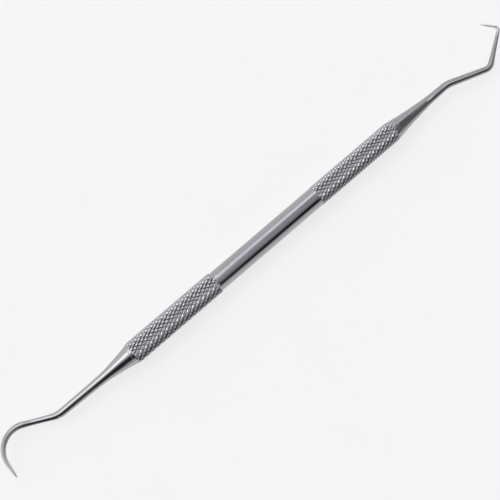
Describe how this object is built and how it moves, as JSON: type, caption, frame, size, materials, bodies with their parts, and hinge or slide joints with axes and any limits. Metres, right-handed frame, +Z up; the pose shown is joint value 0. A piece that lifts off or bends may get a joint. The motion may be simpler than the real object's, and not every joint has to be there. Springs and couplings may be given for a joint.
{
  "type": "dental explorer",
  "caption": "Double-ended stainless dental explorer with a knurled round handle, a shepherd's hook at one end and a right-angle tip at the other.",
  "frame": {"origin": "under the middle of the whole tool, on the surface that it lies on", "axes": "+X along the handle towards the right-angle tip, +Z up out of the level plane that holds the handle's axis and every bend"},
  "size_m": [0.17, 0.0114, 0.006],
  "materials": {
    "handle_steel": "polished stainless steel, diamond knurl on the grips",
    "working_end_steel": "ground and polished hardened stainless steel"
  },
  "bodies": {
    "root": {"handle": "handle_steel", "hook_end": "working_end_steel", "angled_end": "working_end_steel"}
  },
  "joints": []
}
